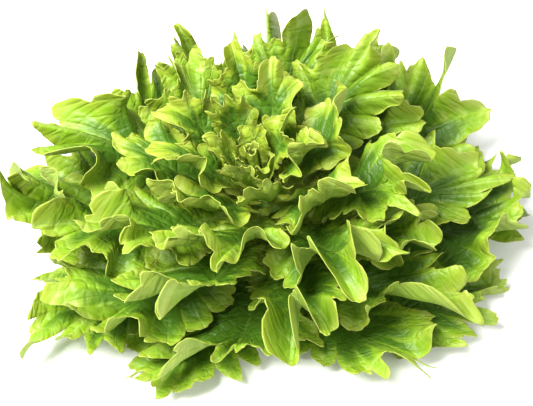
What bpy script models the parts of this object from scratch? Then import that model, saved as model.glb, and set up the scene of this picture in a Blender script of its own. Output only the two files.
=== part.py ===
"""Oak leaf lettuce head: a cut stem, fifty separate lobed leaves in a golden-angle rosette, a rolled heart.

Every leaf is drawn flat first, as rays that fan out from its midrib, and is then laid on its own cup.
The cups are nested round the stem, from nearly flat outside to upright at the heart, and turn up at the rim.
A leaf may rise off its cup or sink below it, but only half the way to the next leaf that is present there,
so no leaf meets another one.
Lengths are in millimetres up to the last step, which turns them into metres.
"""
import bpy
import numpy as np

# rosette
LEAVES = 50
GOLDEN_ANGLE = np.radians(137.508)
FIRST_DIRECTION = np.radians(-35)
# leaves by index and degrees, where a coarse fold would meet another leaf
TURNED_ASIDE = {1: -8, 3: -8, 7: -8, 8: 10, 18: 5, 49: 5}
PACKING = 1.2               # above 1: more leaves in the outer cups
SEED = 7000

# cups: values at the outermost leaf and at the innermost one
ROOT_RADIUS = (19.0, 5.0)
ROOT_HEIGHT = (14.0, 52.0)
LENGTH = (125.0, 27.0)
UPTURN = (62.0, 12.0)       # degrees that a cup turns up from its root to its rim
UPTURN_POWER = 1.7

# leaf outline, as shares of its length
STALK = (0.22, 0.10)
FAN_START = 0.84            # share of the rays before the ones that leave from a single point
FAN_FOOT = 0.54             # where the last rays leave the midrib
SIDE_ANGLE = 86.0           # degrees between the lowest ray and the midrib
SINUS_DEPTH = 0.3           # how far the bays between lobes cut in
BAY_POWER = 0.6             # under 1: narrow bays between round lobes
WIDEST = 0.46
TIP_REACH = 0.47
SQUARENESS = 3.5            # of the blade as a whole, 2 would be an ellipse
CURL_POWER = 2.0            # above 1: the curl sits near the rim
STEEPEST = 1.35             # radians that a lobe may bend off the cup

# thickness
BLADE = (0.9, 0.68)
RIB_ROOT = (2.4, 1.3)
RIB_TIP = (1.1, 0.7)

# room for each leaf
CLEARANCE = 1.3
HIGHEST_RUFFLE = 24.0       # off its cup
GAP_SHARE = 0.45            # how much of the gap to the next leaf each one may take
ANGLE_CELLS = 360
ALONG_CELLS = 100
ALONG_TOP = 1.6
HIGHEST_PLACE = 1.0
LOWEST_PLACE = -0.09
STEPS_OF_A_MOVE = (0.0, 0.25, 0.5, 0.75, 1.0)

# whole head
SWELL = 0.025
LEAN = -0.17                # sideways shift per height
FLOOR = 2.0                 # no leaf hangs lower than this
FLOOR_SOFTNESS = 2.0

STEM_INSET = 1.2            # from the leaf roots to the stem's skin
STEM_SIDES = 20

TURN = 2 * np.pi


def mix(a, b, share):
    return a + (b - a) * share


# The cups. A place q runs from 0 for the outermost leaf to 1 for the innermost one.

def cup_length(q):
    return mix(LENGTH[1], LENGTH[0], 1 - q * np.abs(q))


def cup_angle(q, along):
    """Rise over the horizontal, at a share of the way along the cup. It grows towards the rim."""
    chord = -1 + 64 * q + 15 * q ** 4
    upturn = mix(*UPTURN, q ** 2) * (0.62 + 0.38 * np.tanh((q - 0.06) / 0.07))
    return np.radians(chord + upturn * (np.maximum(along, 0) ** UPTURN_POWER - 1 / (1 + UPTURN_POWER)))


def cup_point(q, along):
    """Distance from the axis and height."""
    q, along = np.broadcast_arrays(np.asarray(q, float), np.asarray(along, float))
    steps = (np.arange(20) + 0.5) / 20
    angle = cup_angle(q[..., None], np.maximum(along, 0)[..., None] * steps)
    run = cup_length(q) * along
    radius = mix(*ROOT_RADIUS, q) + run * np.cos(angle).mean(-1)
    height = mix(*ROOT_HEIGHT, q) + run * np.sin(angle).mean(-1)
    return radius, height


def cup_spacing(q, along):
    """For one unit of q: the distance between cups, and the shift along the cup of a square move."""
    small = 1e-3
    r1, z1 = cup_point(q + small, along)
    r0, z0 = cup_point(q - small, along)
    dr, dz = (r1 - r0) / (2 * small), (z1 - z0) / (2 * small)
    angle = cup_angle(q, along)
    apart = np.cos(angle) * dz - np.sin(angle) * dr
    shift = (np.cos(angle) * dr + np.sin(angle) * dz) / cup_length(q)
    return np.maximum(apart, 8.0), shift


# One leaf

def place_of(index):
    return (index / (LEAVES - 1)) ** PACKING


class Leaf:
    """The size, the direction and the curls of one leaf."""

    def __init__(self, index):
        rng = np.random.default_rng(SEED + index)
        self.index = index
        self.q = place_of(index)
        aside = np.radians(TURNED_ASIDE.get(index, 0))
        self.direction = FIRST_DIRECTION + index * GOLDEN_ANGLE + aside + rng.normal(0, np.radians(3))
        self.length = cup_length(self.q) * rng.uniform(0.92, 1.08)
        self.stalk = mix(*STALK, self.q)
        self.lean = rng.normal(0, np.radians(8))
        self.roll = rng.uniform(-0.6, 0.6)
        self.lobes = 7 if self.q < 0.28 else 6 if self.q < 0.62 else 4
        self.wide = mix(1.06, 0.95, self.q) * rng.uniform(0.9, 1.1)
        count = self.lobes + 1
        self.size = rng.uniform(0.85, 1.2, (2, count))
        upward = (np.arange(count) + rng.integers(0, 2, (2, 1)) + (rng.random((2, count)) < 0.2)) % 2 == 1
        self.curl = np.where(upward, rng.uniform(2.2, 4.0, (2, count)), rng.uniform(-4.0, -2.2, (2, count)))
        self.twist = rng.uniform(-1.0, 1.0, (2, count))
        self.spoon = rng.uniform(-1.2, 1.0, (2, count))
        self.wave = rng.uniform(0, TURN, 2)
        # both sides share the lobe at the tip
        self.size[1, -1] = self.size[0, -1]
        self.curl[:, -1] = rng.uniform(-2.5, 2.5)
        self.twist[1, -1] = -self.twist[0, -1]
        self.spoon[1, -1] = self.spoon[0, -1]

    def rays(self, side, share):
        """Foot on the midrib, angle to it, length and curl of the rays; share is 0 at the blade's base."""
        lobe = share * (self.lobes + 0.5)
        foot = mix(self.stalk, FAN_FOOT, 1 - (1 - np.minimum(share / FAN_START, 1)) ** 1.2)
        turn = np.radians(SIDE_ANGLE * (1 - share ** 1.5))
        reach = (np.cos(turn) / TIP_REACH) ** SQUARENESS + (np.sin(turn) / WIDEST) ** SQUARENESS
        reach = reach ** (-1 / SQUARENESS)
        reach = reach * mix(0.42, 1, np.clip(share / 0.5, 0, 1) ** 0.8)
        reach = reach * mix(1, np.abs(np.sin(np.pi * lobe)) ** BAY_POWER, SINUS_DEPTH)
        centres = np.arange(self.lobes + 1) + 0.5
        weight = np.exp(-((lobe[:, None] - centres) / 0.5) ** 2)
        weight = weight / weight.sum(1, keepdims=True)
        phase = TURN * (lobe - 0.5)
        curl = weight @ self.curl[side] + 1.1 * weight @ self.twist[side] * np.sin(phase)
        curl = curl - 0.8 * weight @ self.spoon[side] * np.cos(phase)
        return foot, turn, reach * (weight @ self.size[side]) * self.wide, curl

    def side(self, side, rays, rings):
        """Width, distance along and height off the cup of a grid of points; rays under 0 lie on the stalk."""
        on_stalk = rays < 0
        share = np.clip(rays, 0, 1)
        foot, turn, reach, curl = self.rays(side, share)
        stockier = mix(1, 1.8, self.q)
        grown = np.clip(share * 5, 0, 1)
        stalk_half = mix(0.054, 0.035, np.clip(1 + rays, 0, 1)) * stockier
        foot = np.where(on_stalk, self.stalk * (1 + rays), foot)
        turn = np.where(on_stalk, np.pi / 2, turn)
        reach = np.where(on_stalk, stalk_half, mix(0.035 * stockier, reach, grown ** 0.7))
        curl = np.where(on_stalk, 0, curl * grown)
        trough = np.where(on_stalk, 0.5, mix(0.9, 0.15, share ** 0.6))
        steps = np.linspace(0, 1, 33)
        bend = trough[:, None] * (1 - steps) + curl[:, None] * steps ** CURL_POWER
        bend = STEEPEST * np.tanh(bend / STEEPEST)
        run = run_along(np.cos(bend), steps, rings)
        rise = run_along(np.sin(bend), steps, rings)
        sign = 1 if side == 0 else -1
        from_tip = sign * TURN * (1 - share) * (self.lobes + 0.5)
        ruffle = 0.030 * np.sin(0.7 * from_tip + self.wave[0])[:, None] * rings ** 2.5
        ruffle = ruffle + 0.008 * np.sin(1.7 * from_tip + self.wave[1])[:, None] * rings ** 4
        reach = (reach * self.length)[:, None]
        width = sign * reach * run * np.sin(turn)[:, None]
        along = (foot * self.length)[:, None] + reach * run * np.cos(turn)[:, None]
        rolled = width * self.roll * np.clip(along / self.length - 0.25, 0, 0.6)
        height = reach * rise + self.length * ruffle * grown[:, None] + rolled
        return width, along, height

    def wished(self, rays, rings):
        """Where the leaf would lie: angle round the stem, share along its cup, move in q, shift per move."""
        right, left = self.side(0, rays, rings), self.side(1, rays, rings)
        width, along, height = (np.concatenate([a, b[-2::-1]]) for a, b in zip(right, left))
        along = along / cup_length(self.q)
        radius, _ = cup_point(self.q, along)
        most = np.radians(105)
        angle = self.direction + self.lean * along ** 2
        angle = angle + most * np.tanh(width / np.maximum(radius, 2.5) / most)
        apart, shift = cup_spacing(self.q, along)
        height = HIGHEST_RUFFLE * np.tanh(height / HIGHEST_RUFFLE)
        return angle, along, height / apart, shift


def run_along(values, steps, rings):
    """Integral of the values over the steps, read at the rings."""
    parts = (values[:, 1:] + values[:, :-1]) / 2 / (len(steps) - 1)
    total = np.concatenate([np.zeros((len(values), 1)), np.cumsum(parts, axis=1)], axis=1)
    return np.stack([np.interp(rings, steps, row) for row in total])


# The room of each leaf

def cells(angle, along):
    column = np.floor(angle / TURN * ANGLE_CELLS).astype(int) % ANGLE_CELLS
    row = np.clip((along / ALONG_TOP * ALONG_CELLS).astype(int), 0, ALONG_CELLS - 1)
    return column, row


def spread(field, pick, columns, rows):
    """Each cell takes the picked value of its neighbours within so many columns and rows."""
    result = field
    for a in range(-columns, columns + 1):
        for b in range(-rows, rows + 1):
            result = pick(result, np.roll(np.roll(field, a, -2), b, -1))
    return result


def covered_cells(leaves):
    """For each leaf, the cells that it lies over, with every lobe sampled finely."""
    covered = np.zeros((LEAVES, ANGLE_CELLS, ALONG_CELLS), bool)
    rings = np.linspace(0, 1, 13)
    for leaf in leaves:
        rays = np.concatenate([np.linspace(-1, 0, 8, endpoint=False), np.linspace(0, 1, 14 * leaf.lobes + 8)])
        angle, along, move, shift = leaf.wished(rays, rings)
        for step in STEPS_OF_A_MOVE:
            covered[leaf.index][cells(angle, along - step * move * shift)] = True
    return spread(covered, np.logical_or, 1, 1)


def rooms(leaves):
    """Lowest and highest q that each leaf may take over each cell: half way to the next leaf there."""
    covered = covered_cells(leaves)
    places = place_of(np.arange(LEAVES))
    low, high = np.zeros(covered.shape), np.zeros(covered.shape)
    last = np.full(covered.shape[1:], 2 * LOWEST_PLACE)
    for i in range(LEAVES):
        low[i] = mix(places[i], last, GAP_SHARE)
        last = np.where(covered[i], places[i], last)
    last = np.full(covered.shape[1:], 2 * HIGHEST_PLACE - 0.97)
    for i in reversed(range(LEAVES)):
        high[i] = mix(places[i], last, GAP_SHARE)
        last = np.where(covered[i], places[i], last)
    low = spread(low, np.maximum, 1, 1)
    high = spread(high, np.minimum, 1, 1)
    for axis in (1, 2):
        low = sum(np.roll(low, k, axis) for k in range(-2, 3)) / 5
        high = sum(np.roll(high, k, axis) for k in range(-2, 3)) / 5
    return low, high


def settled(leaf, low, high, rays, rings):
    """Points of the leaf's middle surface in space, held to its room."""
    angle, along, move, shift = leaf.wished(rays, rings)
    up, down = np.full(along.shape, 9.0), np.full(along.shape, 9.0)
    for step in STEPS_OF_A_MOVE:
        passed = along - step * move * shift
        cell = cells(angle, passed)
        apart, _ = cup_spacing(leaf.q, passed)
        up = np.minimum(up, high[leaf.index][cell] - leaf.q - CLEARANCE / apart)
        down = np.minimum(down, leaf.q - low[leaf.index][cell] - CLEARANCE / apart)
    room = np.maximum(np.where(move > 0, up, down), 1e-4)
    move = move / (1 + np.abs(move / room) ** 1.5) ** (1 / 1.5)
    along = along - move * shift
    q = leaf.q + move
    q = q + swell(angle, along, q)
    radius, height = cup_point(q, along)
    return whole_head(radius * np.cos(angle), radius * np.sin(angle), height, True)


def swell(angle, along, q):
    """A swell that all leaves share, gentle enough in q that it can't make two of them cross."""
    waves = ((7, 3, 3, 0.3, 1.0), (11, -4, -4, 1.9, 1.0), (16, 3, 4, 4.0, 1.1), (21, -5, -4, 2.5, 1.1),
             (27, 4, 3, 5.1, 0.9), (33, -5, -3, 0.8, 0.8))
    total = 0
    for around, outward, inward, phase, share in waves:
        total = total + share * np.sin(around * angle + outward * along + inward * q + phase)
    return SWELL * total * np.clip(along, 0, 1.12) ** 6 * np.clip(1.1 - q, 0, 1)


def whole_head(x, y, z, above_floor):
    """The head's plan, its lean, and the floor that stops the drooping leaves."""
    angle = np.arctan2(y, x)
    far = np.clip(np.hypot(x, y) / 60, 0, 1)
    plan = 0.975 + 0.02 * np.sin(angle) + 0.07 * np.cos(2 * angle) + 0.055 * np.sin(2 * angle)
    plan = mix(0.965, plan, far)
    x, y = x * plan + LEAN * z, y * plan
    if above_floor:
        z = FLOOR + FLOOR_SOFTNESS * np.logaddexp(0, (z - FLOOR) / FLOOR_SOFTNESS)
    return np.stack([x, y, z], -1)


# Solids

def lobe_rays(leaf):
    """Few rays, but one in every bay and one or two on every lobe."""
    parts = (0.0, 0.5) if leaf.lobes > 5 else (0.0, 0.3, 0.7)
    lobe = [k + part for k in range(leaf.lobes) for part in parts]
    lobe = np.array(lobe + [leaf.lobes, leaf.lobes + 0.5])
    return np.concatenate([[-1.0, -0.45], lobe / (leaf.lobes + 0.5)])


def thickness(leaf, rays, rings):
    """Whole thickness over one side: thick along the midrib, thin over the blade."""
    up = np.clip((rays + 1) / 2, 0, 1)
    blade = mix(*BLADE, leaf.q)
    rib = mix(mix(*RIB_ROOT, leaf.q), mix(*RIB_TIP, leaf.q), up ** 0.6)
    extra = np.maximum(rib - blade, 0)[:, None]
    over_blade = blade + extra * np.clip(1 - rings / 0.3, 0, 1) ** 1.5
    over_stalk = blade + extra * (1 - rings ** 2)
    return np.where((rays < 0)[:, None], over_stalk, over_blade)


def leaf_triangles(rays, columns):
    """Vertex numbers of a grid whose two halves share the midrib, and whose last rays share a point of it."""
    rows = 2 * len(rays) - 1
    number = np.arange(rows * columns).reshape(rows, columns)
    number[:len(rays), 0][rays >= FAN_START] = number[len(rays) - 1, 0]
    half = len(rays) - 1
    number[half:, 0] = number[half::-1, 0]
    triangles = []
    for row in range(rows - 1):
        for column in range(columns - 1):
            a, b = number[row, column], number[row + 1, column]
            d, c = number[row, column + 1], number[row + 1, column + 1]
            if row < half:
                triangles += [(a, d, b), (b, d, c)]
            else:
                triangles += [(a, c, b), (a, d, c)]
    return np.array([t for t in triangles if len(set(t)) == 3])


def vertex_normals(points, triangles):
    a, b, c = (points[triangles[:, k]] for k in range(3))
    faces = np.cross(b - a, c - a)
    normals = np.zeros_like(points)
    for k in range(3):
        np.add.at(normals, triangles[:, k], faces)
    return normals / np.linalg.norm(normals, axis=1, keepdims=True)


def thicken(points, triangles, thick):
    """Closed thin body: both faces share one triangulation, and a strip joins their borders."""
    offset = vertex_normals(points, triangles) * thick[:, None] / 2
    count = len(points)
    edges = {(t[k], t[k - 2]) for t in triangles.tolist() for k in range(3)}
    faces = [tuple(t) for t in triangles.tolist()]
    faces += [(c + count, b + count, a + count) for a, b, c in triangles.tolist()]
    for a, b in sorted(edges):
        if (b, a) not in edges:
            faces += [(b, a, a + count), (b, a + count, b + count)]
    return np.concatenate([points + offset, points - offset]), faces


def leaf_body(leaf, low, high):
    rays = lobe_rays(leaf)
    rings = np.array((0, 0.55, 1))
    grid = settled(leaf, low, high, rays, rings)
    triangles = leaf_triangles(rays, len(rings))
    used, triangles = np.unique(triangles, return_inverse=True)
    thick = thickness(leaf, rays, rings)
    thick = np.concatenate([thick, thick[-2::-1]]).reshape(-1)[used]
    return thicken(grid.reshape(-1, 3)[used], triangles.reshape(-1, 3), thick)


def turned_body(profile):
    """Solid of revolution from (radius, height) pairs, bottom first, closed by a point at each end."""
    angle = np.arange(STEM_SIDES) / STEM_SIDES * TURN
    radius, height = np.array(profile).T
    x = radius[:, None] * np.cos(angle)
    y = radius[:, None] * np.sin(angle)
    z = np.broadcast_to(height[:, None], x.shape)
    points = whole_head(x, y, z, False).reshape(-1, 3)
    ends = whole_head(np.zeros(2), np.zeros(2), height[[0, -1]], False)
    bottom, top = len(points), len(points) + 1
    faces = []
    for side in range(STEM_SIDES):
        after = (side + 1) % STEM_SIDES
        faces.append((bottom, after, side))
        last = (len(radius) - 1) * STEM_SIDES
        faces.append((top, last + side, last + after))
        for level in range(len(radius) - 1):
            a, b = level * STEM_SIDES + side, level * STEM_SIDES + after
            faces += [(a, b, b + STEM_SIDES), (a, b + STEM_SIDES, a + STEM_SIDES)]
    return np.concatenate([points, ends]), faces


def stem_body():
    """A stub with a flat cut face below, that narrows between the leaf roots."""
    profile = [(16.6, 0.0), (17.6, 3.0), (17.8, 9.0)]
    for q in (0.0, 0.25, 0.5, 0.75, 1.0):
        profile.append((mix(*ROOT_RADIUS, q) - STEM_INSET, mix(*ROOT_HEIGHT, q)))
    profile[-1] = (profile[-1][0], profile[-1][1] - 1.0)
    return turned_body(profile)


def bud_body():
    """The youngest leaf, a sheet rolled up at the head's centre."""
    turns = np.linspace(0, 1.75 * TURN, 25)
    levels = np.linspace(0, 1, 4)
    angle = np.broadcast_to(turns[:, None], (len(turns), len(levels)))
    inward = turns[:, None] / turns[-1]
    top = 76 - 5 * inward + 1.2 * np.sin(2.3 * turns[:, None])
    radius = mix(3.7, 1.1, inward) * (1 + 0.22 * levels ** 3)
    height = mix(52.5, top, levels)
    points = whole_head(radius * np.cos(angle), radius * np.sin(angle), height, False)
    number = np.arange(points.shape[0] * points.shape[1]).reshape(points.shape[:2])
    triangles = []
    for row in range(len(turns) - 1):
        for column in range(len(levels) - 1):
            a, b = number[row, column], number[row + 1, column]
            d, c = number[row, column + 1], number[row + 1, column + 1]
            triangles += [(a, b, c), (a, c, d)]
    points = points.reshape(-1, 3)
    return thicken(points, np.array(triangles), np.full(len(points), 0.62))


# Objects

def make_material(name, colour, roughness):
    material = bpy.data.materials.new(name)
    material.use_nodes = True
    shader = material.node_tree.nodes["Principled BSDF"]
    shader.inputs["Base Color"].default_value = (*colour, 1)
    shader.inputs["Roughness"].default_value = roughness
    return material


def add_object(name, body, material, collection):
    points, faces = body
    mesh = bpy.data.meshes.new(name)
    mesh.from_pydata((points / 1000).tolist(), [], faces)
    mesh.materials.append(material)
    part = bpy.data.objects.new(name, mesh)
    collection.objects.link(part)
    return part


def build():
    for old in list(bpy.data.objects):
        bpy.data.objects.remove(old, do_unlink=True)
    collection = bpy.data.collections.new("oak_leaf_lettuce")
    bpy.context.scene.collection.children.link(collection)
    outer_green = make_material("outer_leaf_green", (0.16, 0.38, 0.03), 0.45)
    inner_green = make_material("inner_leaf_green", (0.34, 0.58, 0.06), 0.45)
    stem_pale = make_material("cut_stem_pale", (0.72, 0.74, 0.46), 0.6)
    add_object("stem", stem_body(), stem_pale, collection)
    add_object("heart_bud", bud_body(), inner_green, collection)
    leaves = [Leaf(i) for i in range(LEAVES)]
    low, high = rooms(leaves)
    for leaf in leaves:
        green = outer_green if leaf.q < 0.6 else inner_green
        add_object(f"leaf_{leaf.index + 1:02d}", leaf_body(leaf, low, high), green, collection)


build()
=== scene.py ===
# %% [markdown]
# # A head of oak leaf lettuce
# This lesson dresses a plain model of a lettuce head.
# The plain model, the frame, holds one thin solid for each leaf, and says where everything is and how big.
# We grow the same leaves again with many more points, and then give them margins, veins, colour and light.

import bpy
import numpy as np
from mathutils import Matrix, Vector


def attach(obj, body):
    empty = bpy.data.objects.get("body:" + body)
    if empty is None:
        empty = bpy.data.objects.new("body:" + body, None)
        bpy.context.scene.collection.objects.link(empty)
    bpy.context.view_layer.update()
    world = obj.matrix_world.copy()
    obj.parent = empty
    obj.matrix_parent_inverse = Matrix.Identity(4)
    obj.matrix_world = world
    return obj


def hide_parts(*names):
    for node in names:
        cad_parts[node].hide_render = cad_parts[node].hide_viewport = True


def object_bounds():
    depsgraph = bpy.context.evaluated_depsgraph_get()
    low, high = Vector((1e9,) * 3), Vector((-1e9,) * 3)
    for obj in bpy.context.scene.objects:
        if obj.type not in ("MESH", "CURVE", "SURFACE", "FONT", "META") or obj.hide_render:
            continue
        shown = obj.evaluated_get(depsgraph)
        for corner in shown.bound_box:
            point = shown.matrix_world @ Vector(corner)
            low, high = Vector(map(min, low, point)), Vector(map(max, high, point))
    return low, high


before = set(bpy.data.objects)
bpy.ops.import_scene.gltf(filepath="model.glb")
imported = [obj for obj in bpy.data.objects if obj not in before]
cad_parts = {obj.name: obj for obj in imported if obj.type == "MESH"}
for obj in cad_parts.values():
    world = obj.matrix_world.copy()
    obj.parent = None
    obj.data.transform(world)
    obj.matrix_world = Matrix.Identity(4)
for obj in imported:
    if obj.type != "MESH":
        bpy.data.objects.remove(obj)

frame_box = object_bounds()
BODY = "root"
MM = 1000  # in a metre
LEAVES = sum(name.startswith("leaf_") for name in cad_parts)
print("leaves in the frame:", LEAVES)
print("frame in mm:", [round((high - low) * MM, 1) for low, high in zip(*frame_box)])

# %% [markdown]
# ## Camera, light and floor
# The head was photographed from the front and well above, so near that the front leaves look larger.
# A real studio would use a large soft lamp and white walls.
# One strong area lamp and a white world do that here, and the deep gaps stay dark beside the lit rims, helped
# by shade painted as a deep green into the leaves' inner parts.
# A second, weak lamp lifts the right side.

# %% Camera
ELEVATION = np.radians(52)  # over the horizontal
DISTANCE = 0.97
SEEN_WIDTH = 0.2915  # metres across the picture, where the camera looks
LOOKS_AT = Vector((-0.0045, 0.000, 0.028))


def add_to_scene(name, data):
    made = bpy.data.objects.new(name, data)
    bpy.context.scene.collection.objects.link(made)
    return made


def aim(thing, place, target):
    thing.location = place
    thing.rotation_euler = (target - place).to_track_quat("-Z", "Y").to_euler()


camera = add_to_scene("camera", bpy.data.cameras.new("camera"))
camera.data.lens = camera.data.sensor_width * DISTANCE / SEEN_WIDTH
aim(camera, LOOKS_AT + DISTANCE * Vector((0, -np.cos(ELEVATION), np.sin(ELEVATION))), LOOKS_AT)
bpy.context.scene.camera = camera
print("lens in mm:", round(camera.data.lens))

# %% Light
LAMPS = {
    "key": dict(place=(-0.55, -0.25, 1.05), size=0.6, power=48),
    "fill": dict(place=(0.9, -0.5, 0.6), size=1.0, power=8),
}
ROOM_LIGHT = 0.56
for name, lamp in LAMPS.items():
    light = bpy.data.lights.new(name, "AREA")
    light.size, light.energy = lamp["size"], lamp["power"]
    aim(add_to_scene(name, light), Vector(lamp["place"]), LOOKS_AT)

world = bpy.data.worlds.new("white room")
world.use_nodes = True
world.node_tree.nodes["Background"].inputs["Color"].default_value = (1, 1, 1, 1)
world.node_tree.nodes["Background"].inputs["Strength"].default_value = ROOM_LIGHT
bpy.context.scene.world = world
bpy.context.scene.view_settings.view_transform = "Standard"
print("lamps:", len(LAMPS))

# %% Floor
FLOOR_SIZE = 3.0
half = FLOOR_SIZE / 2
floor_corners = [(-half, -half, 0), (half, -half, 0), (half, half, 0), (-half, half, 0)]
floor_mesh = bpy.data.meshes.new("floor")
floor_mesh.from_pydata(floor_corners, [], [(0, 1, 2, 3)])
floor = add_to_scene("floor", floor_mesh)
print("floor:", FLOOR_SIZE, "m")

# %% [markdown]
# ## Nested cups
# A lettuce grows its leaves on nested cups: the outermost is nearly flat, and the innermost is upright.
# We could place each leaf by hand, but then leaves would cut through each other.
# Instead a number q names a cup, from 0 outside to 1 at the heart, and a formula gives any point on any cup.

# %% The cups
ROOT_RADIUS = (19.0, 5.0)  # pairs: at the outermost leaf and at the innermost one, in mm
ROOT_HEIGHT = (14.0, 52.0)
LENGTH = (125.0, 27.0)
UPTURN = (62.0, 12.0)  # degrees that a cup turns up from its root to its rim
UPTURN_POWER = 1.7
CHORD = (-1, 64, 15)  # degrees over the horizontal: outside, the growth with q, and more of it at the heart
FLATTER = 0.38  # half of the share of the upturn that the outermost cups may lack
FLATTER_UP_TO = (0.06, 0.07)  # the q round which that ends, and how softly
STEPS_ALONG = 20
TURN = 2 * np.pi


def mix(a, b, share):
    return a + (b - a) * share


def cup_length(q):
    return mix(LENGTH[1], LENGTH[0], 1 - q * np.abs(q))


def cup_angle(q, along):
    """Rise over the horizontal, at a share of the way along the cup. It grows towards the rim."""
    outside, inwards, at_heart = CHORD
    chord = outside + inwards * q + at_heart * q ** 4
    middle, softly = FLATTER_UP_TO
    upturn = mix(*UPTURN, q ** 2) * (1 - FLATTER + FLATTER * np.tanh((q - middle) / softly))
    return np.radians(chord + upturn * (np.maximum(along, 0) ** UPTURN_POWER - 1 / (1 + UPTURN_POWER)))


def cup_point(q, along):
    """Distance from the axis and height."""
    q, along = np.broadcast_arrays(np.asarray(q, float), np.asarray(along, float))
    steps = (np.arange(STEPS_ALONG) + 0.5) / STEPS_ALONG
    angle = cup_angle(q[..., None], np.maximum(along, 0)[..., None] * steps)
    run = cup_length(q) * along
    radius = mix(*ROOT_RADIUS, q) + run * np.cos(angle).mean(-1)
    height = mix(*ROOT_HEIGHT, q) + run * np.sin(angle).mean(-1)
    return radius, height


for q in (0.0, 0.5, 1.0):
    print("rim of cup", q, "is at", [round(float(value)) for value in cup_point(q, 1.0)], "mm")

# %% How far apart the cups are
LEAST_APART = 8.0  # mm for one unit of q
SMALL_STEP = 1e-3  # of q


def cup_spacing(q, along):
    """For one unit of q: the distance between cups, and the shift along the cup of a square move."""
    r1, z1 = cup_point(q + SMALL_STEP, along)
    r0, z0 = cup_point(q - SMALL_STEP, along)
    dr, dz = (r1 - r0) / (2 * SMALL_STEP), (z1 - z0) / (2 * SMALL_STEP)
    angle = cup_angle(q, along)
    apart = np.cos(angle) * dz - np.sin(angle) * dr
    shift = (np.cos(angle) * dr + np.sin(angle) * dz) / cup_length(q)
    return np.maximum(apart, LEAST_APART), shift


print("mm between the cups half way along, for one unit of q:", round(float(cup_spacing(0.5, 0.5)[0])))

# %% [markdown]
# ## One leaf
# An oak leaf lettuce leaf is a wide blade with rounded lobes on both sides of a pale midrib.
# Its rim grows faster than its middle, so the lobes curl up and down by turns: that makes the ruffles.
# We draw the leaf flat, as rays that fan out from the midrib, and bend each ray off the cup towards its end.
# Seeded draws make each leaf unlike the others, and every run grows the same head.

# %% Every leaf's own draws
GOLDEN_ANGLE = np.radians(137.508)
FIRST_DIRECTION = np.radians(-35)
TURNED_ASIDE = {1: -8, 3: -8, 7: -8, 8: 10, 18: 5, 49: 5}  # degrees, to stay clear of a neighbour
PACKING = 1.2  # over 1, the outer leaves lie closer to each other
SEED = 7000
LOBES = ((0.28, 7), (0.62, 6), (2.0, 4))  # below this q, so many lobes a side
STALK = (0.22, 0.10)  # of the leaf's length
WIDTH = (1.06, 0.95)
TURN_MISS = np.radians(3)  # what a leaf usually departs by
LEAN_MISS = np.radians(8)
LENGTH_DRAW = (0.92, 1.08)  # pairs of draws: the least and the most
ROLL_DRAW = (-0.6, 0.6)
WIDTH_DRAW = (0.9, 1.1)
LOBE_DRAW = (0.85, 1.2)
CURL_DRAW = (2.2, 4.0)  # radians, up or down
TIP_CURL_DRAW = (-2.5, 2.5)
TWIST_DRAW = (-1.0, 1.0)
SPOON_DRAW = (-1.2, 1.0)
OUT_OF_TURN = 0.2  # share of the lobes that curl against their turn


def place_of(index):
    return (index / (LEAVES - 1)) ** PACKING


class Leaf:
    """The size, the direction and the curls of one leaf, drawn in a fixed order."""

    def __init__(self, index):
        rng = np.random.default_rng(SEED + index)
        self.index = index
        self.q = place_of(index)
        aside = np.radians(TURNED_ASIDE.get(index, 0))
        self.direction = FIRST_DIRECTION + index * GOLDEN_ANGLE + aside + rng.normal(0, TURN_MISS)
        self.length = cup_length(self.q) * rng.uniform(*LENGTH_DRAW)
        self.stalk = mix(*STALK, self.q)
        self.lean = rng.normal(0, LEAN_MISS)
        self.roll = rng.uniform(*ROLL_DRAW)
        self.lobes = next(count for limit, count in LOBES if self.q < limit)
        self.wide = mix(*WIDTH, self.q) * rng.uniform(*WIDTH_DRAW)
        shape = (2, self.lobes + 1)
        self.size = rng.uniform(*LOBE_DRAW, shape)
        by_turns = np.arange(self.lobes + 1) + rng.integers(0, 2, (2, 1))
        upward = (by_turns + (rng.random(shape) < OUT_OF_TURN)) % 2 == 1
        least, most = CURL_DRAW
        self.curl = np.where(upward, rng.uniform(least, most, shape), rng.uniform(-most, -least, shape))
        self.twist = rng.uniform(*TWIST_DRAW, shape)
        self.spoon = rng.uniform(*SPOON_DRAW, shape)
        self.wave = rng.uniform(0, TURN, 2)
        # both sides share the lobe at the tip
        self.size[1, -1] = self.size[0, -1]
        self.curl[:, -1] = rng.uniform(*TIP_CURL_DRAW)
        self.twist[1, -1] = -self.twist[0, -1]
        self.spoon[1, -1] = self.spoon[0, -1]


leaves = [Leaf(index) for index in range(LEAVES)]
print("longest leaf:", round(max(leaf.length for leaf in leaves)), "mm")

# %% The rays of a leaf
FAN_START = 0.84  # share of the rays that stand along the midrib; the rest fan out from one foot
FAN_FOOT = 0.54  # of the leaf's length, where that foot is
FOOT_POWER = 1.2
SIDE_ANGLE = 86.0  # degrees between the midrib and the lowest ray
SIDE_POWER = 1.5
WIDEST = 0.46  # reach to the side and to the tip, of the leaf's length
TIP_REACH = 0.47
SQUARENESS = 3.5
LOWEST_REACH = 0.42  # of the full reach, at the blade's base
FULL_REACH_FROM = 0.5
REACH_POWER = 0.8
SINUS_DEPTH = 0.3
BAY_POWER = 0.6  # under 1, the lobes are wide and the bays between them narrow
LOBE_BLEND = 0.5  # lobes
TWIST = 1.1
SPOON = 0.8


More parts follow.
